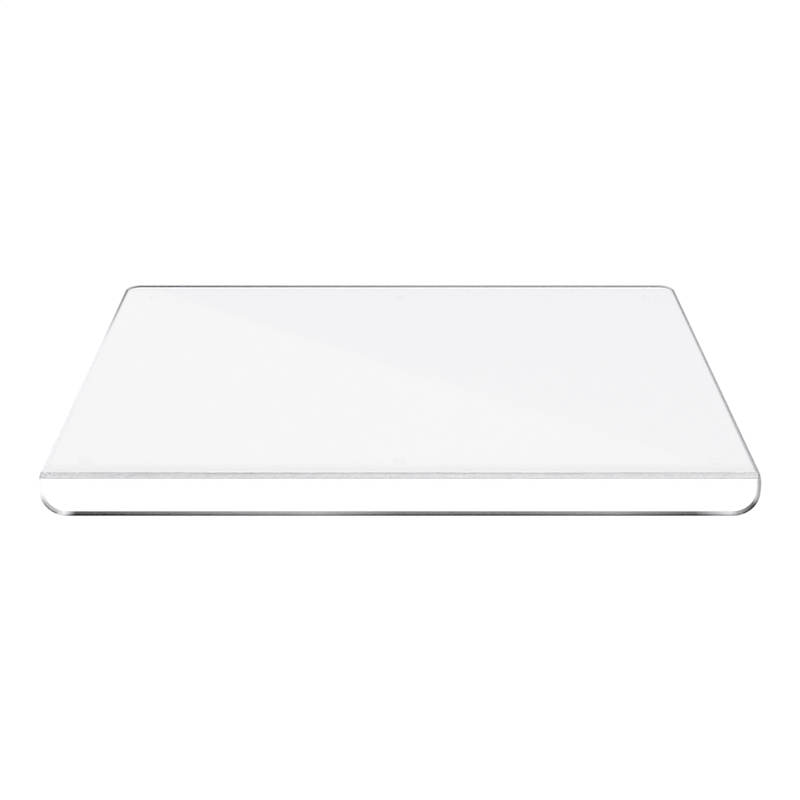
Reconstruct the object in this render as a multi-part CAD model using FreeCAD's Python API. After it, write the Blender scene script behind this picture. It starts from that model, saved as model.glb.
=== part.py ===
import FreeCAD, Part
import math
import os

# A clear board for a counter or desk top. One sheet of acrylic lies on the counter, and its front is bent
# down 90 degrees into a lip that hooks over the counter's front edge, so that the board can't slide back.
# Stick-on clear silicone pads under the sheet keep it off the counter and stop it sliding sideways.
#
# Frame, in millimetres: +X is to the right, +Y away from the user, +Z up. The origin is under the middle of
# the board, level with the lip's lower edge.

# ---- Driving dimensions ----
BOARD_WIDTH = 610.0  # side to side, 24 in
BOARD_DEPTH = 457.0  # lip's front face to rear edge, 18 in
OVERALL_HEIGHT = 38.5  # lip's lower edge to top face
SHEET_THICKNESS = 8.0  # standard cast acrylic sheet
BEND_INSIDE_RADIUS = 3.5  # tight heat bend, a little under half the sheet's thickness
REAR_CORNER_RADIUS = 16.5
LIP_CORNER_RADIUS = 21.5
ARRIS_RADIUS = 3.0  # generous polished rounding of every cut edge

PAD_DIAMETER = 12.0
PAD_FOOT_DIAMETER = 8.8  # flat face that touches the counter
PAD_HEIGHT = 1.8
PAD_SIDE_DRAFT = 0.5  # how much narrower the pad is where its rounded rim begins
ADHESIVE_DIAMETER = 11.4
ADHESIVE_THICKNESS = 0.2
PAD_SIDE_INSET = 34.0  # pad centre to the board's side edge
PAD_REAR_INSET = 34.0  # pad centre to the board's rear edge
PAD_BEND_GAP = 24.0  # pad centre to the line where the bend begins

# ---- Derived places ----
BEND_OUTSIDE_RADIUS = BEND_INSIDE_RADIUS + SHEET_THICKNESS
LIP_FRONT_Y = -BOARD_DEPTH / 2
LIP_BACK_Y = LIP_FRONT_Y + SHEET_THICKNESS
REAR_Y = BOARD_DEPTH / 2
UNDERSIDE_Z = OVERALL_HEIGHT - SHEET_THICKNESS
BEND_AXIS_Y = LIP_FRONT_Y + BEND_OUTSIDE_RADIUS
BEND_AXIS_Z = OVERALL_HEIGHT - BEND_OUTSIDE_RADIUS
ADHESIVE_BOTTOM_Z = UNDERSIDE_Z - ADHESIVE_THICKNESS

PAD_COLUMNS = {
    "left": -(BOARD_WIDTH / 2 - PAD_SIDE_INSET),
    "middle": 0.0,
    "right": BOARD_WIDTH / 2 - PAD_SIDE_INSET,
}
PAD_ROWS = {
    "front": BEND_AXIS_Y + PAD_BEND_GAP,
    "rear": REAR_Y - PAD_REAR_INSET,
}

LENGTH_TOLERANCE = 0.01
AXIS_Z = FreeCAD.Vector(0, 0, 1)
PARTS_FOLDER = "parts"


def point(y, z, x=0.0):
    """A point given by its place in the side view, YZ."""
    return FreeCAD.Vector(x, y, z)


def on_bend(radius, degrees):
    """A point of the side view on an arc about the bend's axis. 90 degrees is straight up, 180 is forward."""
    angle = math.radians(degrees)
    return point(BEND_AXIS_Y + radius * math.cos(angle), BEND_AXIS_Z + radius * math.sin(angle))


def bend_arc(radius):
    """The quarter arc from the flat sheet's face down to the lip's face."""
    return Part.Arc(on_bend(radius, 90), on_bend(radius, 135), on_bend(radius, 180)).toShape()


def side_profile():
    """The bent sheet's closed outline in the side view, before its corners are rounded."""
    outside = BEND_OUTSIDE_RADIUS
    inside = BEND_INSIDE_RADIUS
    return Part.Wire(
        [
            Part.LineSegment(point(REAR_Y, OVERALL_HEIGHT), on_bend(outside, 90)).toShape(),
            bend_arc(outside),
            Part.LineSegment(on_bend(outside, 180), point(LIP_FRONT_Y, 0)).toShape(),
            Part.LineSegment(point(LIP_FRONT_Y, 0), point(LIP_BACK_Y, 0)).toShape(),
            Part.LineSegment(point(LIP_BACK_Y, 0), on_bend(inside, 180)).toShape(),
            bend_arc(inside),
            Part.LineSegment(on_bend(inside, 90), point(REAR_Y, UNDERSIDE_Z)).toShape(),
            Part.LineSegment(point(REAR_Y, UNDERSIDE_Z), point(REAR_Y, OVERALL_HEIGHT)).toShape(),
        ]
    )


def corner_edges(solid, at_rear):
    """The two edges through the sheet's thickness at its rear corners, or at the lip's lower corners."""
    found = []
    for edge in solid.Edges:
        middle = edge.BoundBox.Center
        through_sheet = abs(edge.Length - SHEET_THICKNESS) < LENGTH_TOLERANCE
        rear = abs(middle.y - REAR_Y) < LENGTH_TOLERANCE
        lip_foot = abs(middle.z) < LENGTH_TOLERANCE
        if through_sheet and (rear if at_rear else lip_foot):
            found.append(edge)
    return found


def arris_edges(solid):
    """Every edge of the sheet's outline on both faces: not those through its thickness, nor the bend's lines."""
    return [
        edge
        for edge in solid.Edges
        if abs(edge.Length - SHEET_THICKNESS) > LENGTH_TOLERANCE
        and abs(edge.Length - BOARD_WIDTH) > LENGTH_TOLERANCE
    ]


def board_sheet():
    """The whole board and lip: one bent sheet with rounded corners and polished arrises."""
    sheet = Part.Face(side_profile()).extrude(FreeCAD.Vector(BOARD_WIDTH, 0, 0))
    sheet.translate(FreeCAD.Vector(-BOARD_WIDTH / 2, 0, 0))
    sheet = sheet.makeFillet(REAR_CORNER_RADIUS, corner_edges(sheet, at_rear=True))
    sheet = sheet.makeFillet(LIP_CORNER_RADIUS, corner_edges(sheet, at_rear=False))
    return sheet.makeFillet(ARRIS_RADIUS, arris_edges(sheet))


def pad(x, y):
    """A stick-on silicone pad: slightly drafted side, rounded rim and a flat foot that faces down."""
    top = ADHESIVE_BOTTOM_Z
    foot = top - PAD_HEIGHT
    base_radius = PAD_DIAMETER / 2
    foot_radius = PAD_FOOT_DIAMETER / 2
    rim_radius = base_radius - PAD_SIDE_DRAFT
    rim_height = rim_radius - foot_radius
    rim_middle = rim_height * math.sqrt(0.5)
    rim_start = FreeCAD.Vector(rim_radius, 0, foot + rim_height)
    rim_mid = FreeCAD.Vector(foot_radius + rim_middle, 0, foot + rim_height - rim_middle)
    rim_end = FreeCAD.Vector(foot_radius, 0, foot)
    top_centre = FreeCAD.Vector(0, 0, top)
    top_edge = FreeCAD.Vector(base_radius, 0, top)
    foot_centre = FreeCAD.Vector(0, 0, foot)
    half_section = Part.Wire(
        [
            Part.LineSegment(top_centre, top_edge).toShape(),
            Part.LineSegment(top_edge, rim_start).toShape(),
            Part.Arc(rim_start, rim_mid, rim_end).toShape(),
            Part.LineSegment(rim_end, foot_centre).toShape(),
            Part.LineSegment(foot_centre, top_centre).toShape(),
        ]
    )
    solid = Part.Face(half_section).revolve(FreeCAD.Vector(0, 0, 0), AXIS_Z, 360)
    solid.translate(FreeCAD.Vector(x, y, 0))
    return solid


def pad_adhesive(x, y):
    """The disc of adhesive film that holds a pad to the sheet's underside."""
    corner = FreeCAD.Vector(x, y, ADHESIVE_BOTTOM_Z)
    return Part.makeCylinder(ADHESIVE_DIAMETER / 2, ADHESIVE_THICKNESS, corner, AXIS_Z)


def all_nodes():
    """Every separate piece, by its node's name."""
    nodes = {"board_sheet": board_sheet()}
    for row, y in PAD_ROWS.items():
        for column, x in PAD_COLUMNS.items():
            nodes[f"pad_{row}_{column}"] = pad(x, y)
            nodes[f"pad_adhesive_{row}_{column}"] = pad_adhesive(x, y)
    return nodes


def main():
    os.makedirs(PARTS_FOLDER, exist_ok=True)
    for name, shape in all_nodes().items():
        shape.exportStep(os.path.join(PARTS_FOLDER, name + ".step"))
        box = shape.BoundBox
        print(
            f"{name}: valid {shape.isValid()}, solids {len(shape.Solids)}, {shape.Volume / 1000:.3f} cm3, "
            f"x {box.XMin:.2f} to {box.XMax:.2f}, y {box.YMin:.2f} to {box.YMax:.2f}, "
            f"z {box.ZMin:.2f} to {box.ZMax:.2f}"
        )


main()
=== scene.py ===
"""Looks for the clear counter board: a bent acrylic sheet on small clear pads, in a white studio."""

import math

import bpy
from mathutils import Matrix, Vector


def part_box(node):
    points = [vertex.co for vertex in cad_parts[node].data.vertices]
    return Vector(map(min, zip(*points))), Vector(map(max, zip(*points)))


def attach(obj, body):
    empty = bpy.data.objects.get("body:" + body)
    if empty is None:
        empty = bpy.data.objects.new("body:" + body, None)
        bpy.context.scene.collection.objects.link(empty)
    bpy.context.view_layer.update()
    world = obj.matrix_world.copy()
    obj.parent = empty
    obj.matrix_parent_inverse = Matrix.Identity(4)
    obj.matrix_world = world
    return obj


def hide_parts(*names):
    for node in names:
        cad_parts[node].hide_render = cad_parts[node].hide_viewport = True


MM = 0.001

# ---- The sheet's shape: the same driving dimensions as the CAD source, in metres ----
SHEET_THICKNESS = 8.0 * MM
BEND_OUTSIDE_RADIUS = 11.5 * MM
REAR_CORNER_RADIUS = 16.5 * MM
LIP_CORNER_RADIUS = 21.5 * MM
ARRIS_RADIUS = 3.0 * MM

# ---- How finely the sheet's mesh is divided ----
COLUMNS = 36  # across the board
REAR_CORNER_STEPS = 16
FLAT_STEPS = 24
BEND_STEPS = 48
LIP_STEPS = 3
LIP_CORNER_STEPS = 20
ARRIS_STEPS = 8  # over each quarter round
EDGE_STEPS = 2  # over the flat middle of the cut edge

# ---- Pads ----
PAD_FOOT_RADIUS = 4.4 * MM
PAD_SIDE_DRAFT = 0.5 * MM
PAD_RIM_STEPS = 8
LATHE_STEPS = 48
CONTACT_GAP = 0.01 * MM  # keeps faces that touch from lying in one plane
PAD_NAMES = [f"{row}_{column}" for row in ("front", "rear") for column in ("left", "middle", "right")]

# ---- Surface detail ----
WHITE = (1.0, 1.0, 1.0, 1.0)
NOISE_DETAIL = 3.0
NOISE_REACH = (0.35, 0.7)  # the noise values over which a material goes from its first level to its second

# ---- Acrylic faces. Here and below, a noise's scale is in cells per metre. ----
ACRYLIC_IOR = 1.49
FACE_CLOUDS = 11.0
FACE_ROUGHNESS = (0.0, 0.012)
FACE_THICK = (0.993, 0.994, 0.996, 1.0)
FACE_WAVES = 7.0
FACE_WAVE_HEIGHT = 0.004 * MM

# ---- Acrylic edge: the share of light that it passes or mirrors where its painted shade is darkest, and where it has none ----
EDGE_STREAKS = 1600.0
EDGE_STREAK_STRETCH = (0.04, 0.04, 1.0)  # the streaks lie level
EDGE_STREAK_DEPTH = 0.0005 * MM
EDGE_ROUGHNESS = (0.012, 0.05)
CUT_PASS = ((0.94, 0.935, 0.955, 1.0), (0.985, 0.98, 1.0, 1.0))
CUT_MIRROR = ((0.9, 0.9, 0.9, 1.0), WHITE)
ARRIS_PASS = ((0.0, 0.0, 0.0, 1.0), (0.985, 0.98, 1.0, 1.0))
ARRIS_MIRROR = ((0.05, 0.05, 0.05, 1.0), WHITE)

# Painted edge shade, as a lightness from 0 where darkest to 1 where there is none, at shares of the board's
# width from the left.
LIP_PAINTED_LIGHTNESS = (
    (0.0, 1.0),
    (0.005, 0.5),
    (0.02, 0.5),
    (0.03, 0.95),
    (0.046, 0.02),
    (0.1, 0.06),
    (0.38, 0.4),
    (0.5, 0.16),
    (0.65, 0.16),
    (0.8, 0.3),
    (0.91, 0.08),
    (0.962, 0.75),
    (0.973, 0.35),
    (0.994, 0.05),
    (0.998, 0.9),
)
REAR_PAINTED_LIGHTNESS = (
    (0.0, 0.5),
    (0.02, 0.0),
    (0.15, 0.06),
    (0.6, 0.25),
    (0.97, 0.2),
    (1.0, 0.55),
)
SIDE_PAINTED_LIGHTNESS = ((0.0, 1.0), (1.0, 0.62))
LIP_TO_SIDE = (0.25, 0.6)  # shares of the board's height where the lip's painted lightness gives way to the sides'
LIP_TO_REAR = (0.2, 0.8)  # the same for shares of its depth, from the lip
SIDE_TO_REAR = (0.6, 0.98)

# ---- Silicone and adhesive film, which nearly vanish against the sheet: haze is how much of them shows ----
SILICONE_IOR = 1.41
SILICONE_HAZE = 0.025
SILICONE_GRAIN = 1500.0
SILICONE_GRAIN_DEPTH = 0.02 * MM
SILICONE_ROUGHNESS = (0.25, 0.42)
SILICONE_DENSE = (0.95, 0.96, 0.97, 1.0)
FILM_IOR = 1.47
FILM_HAZE = 0.01
FILM_MOTTLE = 420.0
FILM_ROUGHNESS = (0.3, 0.5)
FILM_DENSE = (0.93, 0.93, 0.9, 1.0)
FILM_THIN = (1.0, 1.0, 0.99, 1.0)

# ---- Studio: levels of light, and places on a wall over the wall's distance ----
BACKDROP = 1.03  # white floor, everywhere below the horizon, and whatever is seen directly
HORIZON_SOFTNESS = 0.002
WALL_RIM = 0.531
WALL_RIM_SOFTNESS = 0.010
WALL_STOPS = (
    (0.0, 1.03),
    (0.25, 0.95),
    (0.37, 0.66),
    (0.53, 0.44),
)
FAR_WALL = (0.0, 0.1)  # how far a direction points away from the user where the far wall's features begin
LEAST_AWAY = 0.05  # keeps places along the far wall finite
PANEL_RISE = 0.444  # a slanting edge on the far wall, under which the wall is a little darker and bluer
PANEL_SLOPE = 0.347
PANEL_SOFTNESS = 0.006
PANEL_TINT = (0.83, 0.83, 0.94, 1.0)
GAP = 0.05  # a dim gap between the far wall's rim and the lit ceiling
GAP_REACH = (0.35, 0.5)  # where the gap ends to either side
BESIDE_GAP = 0.45
CEILING_FROM = (1.15, 1.38)
CEILING = 2.1

# ---- Camera, placed in multiples of the board's width ----
CAMERA_SETBACK = 1.793  # in front of the lip's front face
CAMERA_RISE = 0.9596  # above the top face
CAMERA_PITCH = 25.16  # degrees below the horizon
CAMERA_LENS = 66.4
SENSOR_WIDTH = 36.0

MOST_BOUNCES = 256  # light that the sheet guides to its far edge turns some fifty times each way

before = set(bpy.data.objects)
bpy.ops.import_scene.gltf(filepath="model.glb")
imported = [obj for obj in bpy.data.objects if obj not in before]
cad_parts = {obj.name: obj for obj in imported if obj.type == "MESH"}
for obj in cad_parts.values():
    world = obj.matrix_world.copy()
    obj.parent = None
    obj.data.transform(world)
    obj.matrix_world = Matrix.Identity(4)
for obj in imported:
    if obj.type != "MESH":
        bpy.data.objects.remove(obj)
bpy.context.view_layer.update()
board_low, board_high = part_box("board_sheet")
HALF_WIDTH = board_high.x
FLAT_LENGTH = board_high.y - board_low.y - BEND_OUTSIDE_RADIUS  # rear edge to where the bend begins
BEND_LENGTH = BEND_OUTSIDE_RADIUS * math.pi / 2
LIP_LENGTH = board_high.z - board_low.z - BEND_OUTSIDE_RADIUS
SHEET_LENGTH = FLAT_LENGTH + BEND_LENGTH + LIP_LENGTH  # over the outer face, from rear edge to lip edge
BEND_AXIS_Y = board_low.y + BEND_OUTSIDE_RADIUS
BEND_AXIS_Z = board_high.z - BEND_OUTSIDE_RADIUS


# ---------------------------------------------------------------- geometry


def new_object(name, points, faces, normals=None):
    """A smooth-shaded mesh object from points and faces, with exact vertex normals where they are given."""
    mesh = bpy.data.meshes.new(name)
    mesh.from_pydata(points, [], faces)
    mesh.shade_smooth()
    if normals is not None:
        mesh.normals_split_custom_set_from_vertices(normals)
    thing = bpy.data.objects.new(name, mesh)
    bpy.context.scene.collection.objects.link(thing)
    return thing


def outer_path(s):
    """The outer face's place, normal and forward direction, (y, z) each, at length s from the rear edge."""
    if s <= FLAT_LENGTH:
        return (board_high.y - s, board_high.z), (0.0, 1.0), (-1.0, 0.0)
    if s >= FLAT_LENGTH + BEND_LENGTH:
        return (board_low.y, BEND_AXIS_Z - (s - FLAT_LENGTH - BEND_LENGTH)), (-1.0, 0.0), (0.0, -1.0)
    turn = (s - FLAT_LENGTH) / BEND_OUTSIDE_RADIUS
    normal = (-math.sin(turn), math.cos(turn))
    place = (
        BEND_AXIS_Y + BEND_OUTSIDE_RADIUS * normal[0],
        BEND_AXIS_Z + BEND_OUTSIDE_RADIUS * normal[1],
    )
    return place, normal, (-math.cos(turn), -math.sin(turn))


def bent(x, s, depth):
    """The bent sheet's point at x, at length s from the rear edge and at a depth below the outer face."""
    place, normal, _ = outer_path(s)
    return (x, place[0] - depth * normal[0], place[1] - depth * normal[1])


def bent_normal(s, out_x, out_s, tilt):
    """The surface's normal where it has turned by tilt from the outer face towards the outline's outside."""
    _, normal, forward = outer_path(s)
    face = math.cos(tilt)
    side = math.sin(tilt)
    return (
        side * out_x,
        face * normal[0] + side * out_s * forward[0],
        face * normal[1] + side * out_s * forward[1],
    )


def spread(start, end, steps):
    """The values after start, evenly spaced up to end."""
    return [start + (end - start) * (i + 1) / steps for i in range(steps)]


def side_outline(inset):
    """The outline's left side from rear to lip, moved in by inset: (x, s, outward x, outward s) per point."""
    rear = REAR_CORNER_RADIUS
    lip = LIP_CORNER_RADIUS
    points = []
    for turn in [0.0] + spread(0.0, math.pi / 2, REAR_CORNER_STEPS):
        out_x, out_s = -math.sin(turn), -math.cos(turn)
        x = rear - HALF_WIDTH + (rear - inset) * out_x
        s = rear + (rear - inset) * out_s
        points.append((x, s, out_x, out_s))
    straight = (
        spread(rear, FLAT_LENGTH, FLAT_STEPS)
        + spread(FLAT_LENGTH, FLAT_LENGTH + BEND_LENGTH, BEND_STEPS)
        + spread(FLAT_LENGTH + BEND_LENGTH, SHEET_LENGTH - lip, LIP_STEPS)
    )
    points.extend((inset - HALF_WIDTH, s, -1.0, 0.0) for s in straight)
    for turn in spread(math.pi / 2, 0.0, LIP_CORNER_STEPS):
        out_x, out_s = -math.sin(turn), math.cos(turn)
        x = lip - HALF_WIDTH + (lip - inset) * out_x
        s = SHEET_LENGTH - lip + (lip - inset) * out_s
        points.append((x, s, out_x, out_s))
    return points


def across(left, column):
    """The point of a row that starts at a point of the left outline and ends at its mirror image."""
    share = 1 - 2 * column / COLUMNS
    x, s, out_x, out_s = left
    return (x * share, s, out_x * (1 if column == 0 else -1), out_s)


def loop_places(rows):
    """(row, column) of every point round the outline, in order."""
    last = rows - 1
    places = [(0, column) for column in range(COLUMNS + 1)]
    places += [(row, COLUMNS) for row in range(1, rows)]
    places += [(last, column) for column in range(COLUMNS - 1, -1, -1)]
    places += [(row, 0) for row in range(last - 1, 0, -1)]
    return places


def edge_profile():
    """(inset, depth, tilt) over the cut edge, from the outer face's rim to the inner face's rim."""
    steps = []
    for tilt in [0.0] + spread(0.0, math.pi / 2, ARRIS_STEPS):
        steps.append((ARRIS_RADIUS * (1 - math.sin(tilt)), ARRIS_RADIUS * (1 - math.cos(tilt)), tilt))
    for depth in spread(ARRIS_RADIUS, SHEET_THICKNESS - ARRIS_RADIUS, EDGE_STEPS):
        steps.append((0.0, depth, math.pi / 2))
    for tilt in spread(math.pi / 2, math.pi, ARRIS_STEPS):
        depth = SHEET_THICKNESS - ARRIS_RADIUS - ARRIS_RADIUS * math.cos(tilt)
        steps.append((ARRIS_RADIUS * (1 - math.sin(tilt)), depth, tilt))
    return steps


def board_mesh():
    """The bent sheet as one closed mesh: two faces made of rows across the board, joined by the edge.

    Its first faces are the edge's, strip by strip. Also returns how many faces a strip has.
    """
    points = []
    normals = []
    faces = []
    rings = []
    profile = edge_profile()
    last_row = len(side_outline(0.0)) - 1
    places = loop_places(last_row + 1)
    for inset, depth, tilt in profile:
        outline = side_outline(inset)
        ring = {}
        for row, column in places:
            x, s, out_x, out_s = across(outline[row], column)
            if row in (0, last_row) and 0 < column < COLUMNS:
                out_x = 0.0
            ring[row, column] = len(points)
            points.append(bent(x, s, depth))
            normals.append(bent_normal(s, out_x, out_s, tilt))
        rings.append(ring)
    for upper, lower in zip(rings, rings[1:]):
        for here, after in zip(places, places[1:] + places[:1]):
            faces.append((upper[here], upper[after], lower[after], lower[here]))
    for ring, (inset, depth, tilt) in ((rings[0], profile[0]), (rings[-1], profile[-1])):
        outline = side_outline(inset)
        for row in range(1, last_row):
            for column in range(1, COLUMNS):
                x, s, _, _ = across(outline[row], column)
                ring[row, column] = len(points)
                points.append(bent(x, s, depth))
                normals.append(bent_normal(s, 0.0, 0.0, tilt))
        for row in range(last_row):
            for column in range(COLUMNS):
                corners = [(row, column), (row + 1, column), (row + 1, column + 1), (row, column + 1)]
                if ring is rings[-1]:
                    corners.reverse()
                faces.append(tuple(ring[c] for c in corners))
    return points, faces, normals, len(places)


def lathe_mesh(profile, x, y):
    """A closed solid of revolution about the upright line at x, y. Its profile runs from top to foot."""
    points = []
    faces = []
    for radius, z in profile:
        for step in range(LATHE_STEPS):
            turn = 2 * math.pi * step / LATHE_STEPS
            points.append((x + radius * math.cos(turn), y + radius * math.sin(turn), z))
    for ring in range(len(profile) - 1):
        for step in range(LATHE_STEPS):
            after = (step + 1) % LATHE_STEPS
            upper = ring * LATHE_STEPS
            lower = upper + LATHE_STEPS
            faces.append((upper + step, lower + step, lower + after, upper + after))
    faces.append(tuple(range(LATHE_STEPS)))
    last = (len(profile) - 1) * LATHE_STEPS
    faces.append(tuple(reversed(range(last, last + LATHE_STEPS))))
    return points, faces


# ---------------------------------------------------------------- node building


class Nodes:
    """Short calls that add nodes to one tree. A socket is linked, and anything else is a plain value."""

    def __init__(self, tree):
        self.tree = tree

    def add(self, kind, inputs=None, output=0, **settings):
        """A node with its settings, and its inputs by name or index. Returns one of its outputs."""
        node = self.tree.nodes.new(kind)
        for name, value in settings.items():
            setattr(node, name, value)
        for name, value in (inputs or {}).items():
            if isinstance(value, bpy.types.NodeSocket):
                self.tree.links.new(value, node.inputs[name])
            else:
                node.inputs[name].default_value = value
        return node.outputs[output] if node.outputs else None

    def axes(self, kind):
        """The x, y and z of a kind of texture coordinate."""
        place = self.add("ShaderNodeTexCoord", output=kind)
        return self.add("ShaderNodeSeparateXYZ", {0: place}).node.outputs

    def blend(self, share, first, second):
        """The first colour where share is 0, and the second where it is 1."""
        return self.add("ShaderNodeMix", {0: share, 6: first, 7: second}, output=2, data_type="RGBA")

    def noise(self, scale, stretch=(1.0, 1.0, 1.0)):
        """Soft noise over the object's own place. Each axis has its own share of the scale."""
        place = self.add("ShaderNodeTexCoord", output="Object")
        place = self.add("ShaderNodeVectorMath", {0: place, 1: stretch}, operation="MULTIPLY")
        return self.add("ShaderNodeTexNoise", {"Vector": place, "Scale": scale, "Detail": NOISE_DETAIL})

    def bump(self, height, distance):
        """The surface's normal, shaken by a height from 0 to 1 that stands for the distance."""
        return self.add("ShaderNodeBump", {"Height": height, "Distance": distance})

    def math(self, operation, first, second=0.0):
        """The result of one arithmetic step."""
        return self.add("ShaderNodeMath", {0: first, 1: second}, operation=operation)

    def smooth(self, value, start, end, low, high):
        """low below start, high above end, and a soft step between them."""
        return self.add(
            "ShaderNodeMapRange",
            {"Value": value, "From Min": start, "From Max": end, "To Min": low, "To Max": high},
            interpolation_type="SMOOTHSTEP",
        )

    def ramp(self, value, stops):
        """A grey ramp through (place, level) stops."""
        node = self.tree.nodes.new("ShaderNodeValToRGB")
        self.tree.links.new(value, node.inputs[0])
        elements = node.color_ramp.elements
        while len(elements) < len(stops):
            elements.new(1.0)
        for element, (place, level) in zip(elements, stops):
            element.position = place
            element.color = (level, level, level, 1.0)
        return node.outputs[0]


def new_material(name):
    """An empty node material, and the calls that fill it."""
    material = bpy.data.materials.new(name)
    material.use_nodes = True
    material.node_tree.nodes.clear()
    return material, Nodes(material.node_tree)


# ---------------------------------------------------------------- materials


def acrylic_face():
    """The sheet's two polished faces: clear, with a slow unevenness in their gloss and flatness."""
    material, nodes = new_material("acrylic_face")
    clouds = nodes.noise(FACE_CLOUDS)
    shader = nodes.add(
        "ShaderNodeBsdfPrincipled",
        {
            "Base Color": nodes.blend(clouds, FACE_THICK, WHITE),
            "Roughness": nodes.smooth(clouds, *NOISE_REACH, *FACE_ROUGHNESS),
            "IOR": ACRYLIC_IOR,
            "Transmission Weight": 1.0,
            "Normal": nodes.bump(nodes.noise(FACE_WAVES), FACE_WAVE_HEIGHT),
        },
    )
    nodes.add("ShaderNodeOutputMaterial", {"Surface": shader})
    return material


def painted_edge_lightness(nodes):
    """Painted shade on the edge, as a lightness from 0 for darkest to 1 for none. It changes along the lip's
    foot and rear, and side to side.
    """
    x, y, z = nodes.axes("Generated")
    at_rear = nodes.smooth(y, *LIP_TO_REAR, 0.0, 1.0)
    ends = nodes.blend(at_rear, nodes.ramp(x, LIP_PAINTED_LIGHTNESS), nodes.ramp(x, REAR_PAINTED_LIGHTNESS))
    above_lip = nodes.smooth(z, *LIP_TO_SIDE, 0.0, 1.0)
    before_rear = nodes.smooth(y, *SIDE_TO_REAR, 1.0, 0.0)
    return nodes.blend(nodes.math("MULTIPLY", above_lip, before_rear), ends, nodes.ramp(x, SIDE_PAINTED_LIGHTNESS))


def acrylic_cut(name, passed, mirrored, clear_inside=False):
    """Part of the cut edge: clear as well, but where shade is painted on it, it takes some of the light that
    it meets.

    What it mirrors inside the sheet stays whole. With clear_inside, so does what passes it from the inside.
    """
    material, nodes = new_material(name)
    # Painted shade on the edge: where the lightness is low, the edge passes and mirrors less light.
    painted_lightness = painted_edge_lightness(nodes)
    inside = nodes.add("ShaderNodeNewGeometry", output="Backfacing")
    painted_lightness_outside = nodes.blend(inside, painted_lightness, WHITE)
    passes = nodes.blend(painted_lightness_outside if clear_inside else painted_lightness, *passed)
    returns = nodes.blend(painted_lightness_outside, *mirrored)
    streaks = nodes.noise(EDGE_STREAKS, EDGE_STREAK_STRETCH)
    finish = {
        "Roughness": nodes.smooth(streaks, *NOISE_REACH, *EDGE_ROUGHNESS),
        "Normal": nodes.bump(streaks, EDGE_STREAK_DEPTH),
    }
    bends = nodes.add("ShaderNodeBsdfRefraction", {"Color": passes, "IOR": ACRYLIC_IOR, **finish})
    mirrors = nodes.add("ShaderNodeBsdfGlossy", {"Color": returns, **finish})
    share = nodes.add("ShaderNodeFresnel", {"IOR": ACRYLIC_IOR})
    shader = nodes.add("ShaderNodeMixShader", {0: share, 1: bends, 2: mirrors})
    nodes.add("ShaderNodeOutputMaterial", {"Surface": shader})
    return material


def clear_silicone():
    """Soft clear silicone with a fine moulded grain, seen as a faint haze."""
    material, nodes = new_material("clear_silicone")
    grain = nodes.noise(SILICONE_GRAIN)
    shader = nodes.add(
        "ShaderNodeBsdfPrincipled",
        {
            "Base Color": nodes.blend(grain, SILICONE_DENSE, WHITE),
            "Roughness": nodes.smooth(grain, *NOISE_REACH, *SILICONE_ROUGHNESS),
            "IOR": SILICONE_IOR,
            "Alpha": SILICONE_HAZE,
            "Normal": nodes.bump(grain, SILICONE_GRAIN_DEPTH),
        },
    )
    nodes.add("ShaderNodeOutputMaterial", {"Surface": shader})
    return material


def adhesive_film():
    """The clear adhesive film over each pad, mottled where it has wetted the sheet unevenly."""
    material, nodes = new_material("adhesive_film")
    mottle = nodes.noise(FILM_MOTTLE)
    shader = nodes.add(
        "ShaderNodeBsdfPrincipled",
        {
            "Base Color": nodes.blend(mottle, FILM_DENSE, FILM_THIN),
            "Roughness": nodes.smooth(mottle, *NOISE_REACH, *FILM_ROUGHNESS),
            "IOR": FILM_IOR,
            "Alpha": FILM_HAZE,
        },
    )
    nodes.add("ShaderNodeOutputMaterial", {"Surface": shader})
    return material


# ---------------------------------------------------------------- pieces


def make_board():
    """The bent sheet, with its edge faces in their own material."""
    points, faces, normals, strip_faces = board_mesh()
    board = new_object("acrylic_board", points, faces, normals)
    board.data.materials.append(acrylic_face())
    edge = (
        (acrylic_cut("acrylic_front_arris", ARRIS_PASS, ARRIS_MIRROR, clear_inside=True), ARRIS_STEPS),
        (acrylic_cut("acrylic_cut_edge", CUT_PASS, CUT_MIRROR), EDGE_STEPS),
        (acrylic_cut("acrylic_back_arris", ARRIS_PASS, ARRIS_MIRROR), ARRIS_STEPS),
    )
    start = 0
    for index, (material, strips) in enumerate(edge, start=1):
        board.data.materials.append(material)
        end = start + strips * strip_faces
        for face in range(start, end):
            board.data.polygons[face].material_index = index
        start = end
    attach(board, "root")
    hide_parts("board_sheet")


def pad_profile(low, high, radius):
    """(radius, z) of a pad's side view from its top rim to its foot."""
    rim_radius = radius - PAD_SIDE_DRAFT
    rim = rim_radius - PAD_FOOT_RADIUS
    profile = [(radius, high), (rim_radius, low + rim)]
    for turn in spread(0.0, math.pi / 2, PAD_RIM_STEPS):
        profile.append((PAD_FOOT_RADIUS + rim * math.cos(turn), low + rim * (1 - math.sin(turn))))
    return profile


def make_pad(place, silicone, film):
    """One silicone pad and the adhesive film that holds it to the sheet."""
    kinds = (("pad", silicone, "clear_silicone"), ("pad_adhesive", film, "adhesive_film"))
    for kind, material, slot in kinds:
        node = f"{kind}_{place}"
        low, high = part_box(node)
        middle = (low + high) / 2
        radius = (high.x - low.x) / 2
        top = high.z - CONTACT_GAP
        if kind == "pad":
            profile = pad_profile(low.z, top, radius)
        else:
            profile = [(radius, top), (radius, low.z)]
        piece = new_object(f"{kind}_{place}_clear", *lathe_mesh(profile, middle.x, middle.y))
        piece.data.materials.append(material)
        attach(piece, "root")
        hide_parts(node)


# ---------------------------------------------------------------- studio


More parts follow.
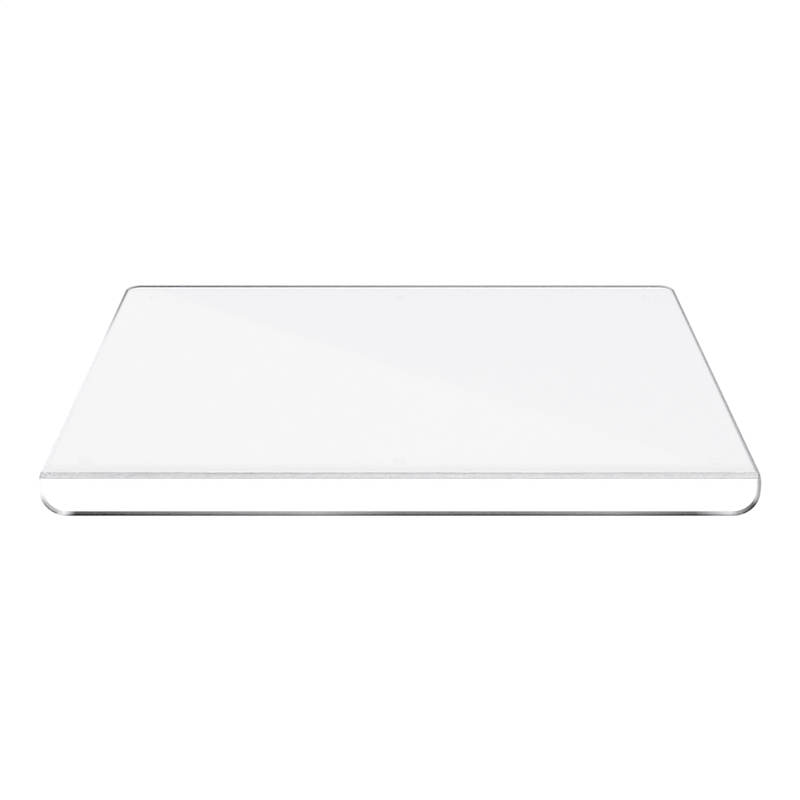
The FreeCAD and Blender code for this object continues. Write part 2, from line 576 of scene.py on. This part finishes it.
def wall_light(nodes, rise, along, far):
    """The walls, darker towards their rim, with the slanting panel's tint on the far wall."""
    panel_edge = nodes.math("ADD", nodes.math("MULTIPLY", along, PANEL_SLOPE), PANEL_RISE)
    over_edge = nodes.math("SUBTRACT", rise, panel_edge)
    under = nodes.math("MULTIPLY", nodes.smooth(over_edge, -PANEL_SOFTNESS, PANEL_SOFTNESS, 1.0, 0.0), far)
    tint = nodes.blend(under, WHITE, PANEL_TINT)
    return nodes.add("ShaderNodeVectorMath", {0: nodes.ramp(rise, WALL_STOPS), 1: tint}, operation="MULTIPLY")


def light_over_walls(nodes, rise, along, far):
    """The lit ceiling, and under it a strip that is dim over the middle of the far wall."""
    in_middle = nodes.smooth(nodes.math("ABSOLUTE", along), *GAP_REACH, 1.0, 0.0)
    gap = nodes.smooth(nodes.math("MULTIPLY", in_middle, far), 0.0, 1.0, BESIDE_GAP, GAP)
    return nodes.smooth(rise, *CEILING_FROM, gap, CEILING)


def make_world():
    """A square light tent: a white floor, pale walls up to a straight rim, and a lit ceiling over them.

    The board reflects and refracts the tent. What is seen directly is plain white.
    """
    world = bpy.data.worlds.new("studio")
    bpy.context.scene.world = world
    world.use_nodes = True
    world.node_tree.nodes.clear()
    nodes = Nodes(world.node_tree)
    x, y, z = nodes.axes("Generated")
    distance = nodes.math("MAXIMUM", nodes.math("ABSOLUTE", x), nodes.math("ABSOLUTE", y))
    rise = nodes.math("DIVIDE", z, distance)
    along = nodes.math("DIVIDE", x, nodes.math("MAXIMUM", y, LEAST_AWAY))
    far = nodes.smooth(y, *FAR_WALL, 0.0, 1.0)
    over_rim = nodes.smooth(rise, WALL_RIM - WALL_RIM_SOFTNESS, WALL_RIM, 0.0, 1.0)
    wall = wall_light(nodes, rise, along, far)
    above = nodes.blend(over_rim, wall, light_over_walls(nodes, rise, along, far))
    white = (BACKDROP, BACKDROP, BACKDROP, 1.0)
    light = nodes.blend(nodes.smooth(z, -HORIZON_SOFTNESS, HORIZON_SOFTNESS, 0.0, 1.0), white, above)
    seen = nodes.add("ShaderNodeLightPath", output="Is Camera Ray")
    background = nodes.add("ShaderNodeBackground", {"Color": nodes.blend(seen, light, white)})
    nodes.add("ShaderNodeOutputWorld", {"Surface": background})


def make_camera():
    """The photograph's view: square on to the lip, from above."""
    camera = bpy.data.cameras.new("camera")
    camera.lens = CAMERA_LENS
    camera.sensor_width = SENSOR_WIDTH
    thing = bpy.data.objects.new("camera", camera)
    width = 2 * HALF_WIDTH
    thing.location = (0, board_low.y - CAMERA_SETBACK * width, board_high.z + CAMERA_RISE * width)
    thing.rotation_euler = (math.radians(90 - CAMERA_PITCH), 0, 0)
    bpy.context.scene.collection.objects.link(thing)
    bpy.context.scene.camera = thing


def set_light_paths():
    """Room for light that the sheet carries from its bend to its far edge."""
    cycles = bpy.context.scene.cycles
    cycles.max_bounces = MOST_BOUNCES
    cycles.glossy_bounces = MOST_BOUNCES
    cycles.transmission_bounces = MOST_BOUNCES


def main():
    """Builds the board, its pads, the studio and the camera."""
    bpy.context.scene.view_settings.view_transform = "Standard"
    set_light_paths()
    make_board()
    silicone = clear_silicone()
    film = adhesive_film()
    for place in PAD_NAMES:
        make_pad(place, silicone, film)
    make_world()
    make_camera()


main()
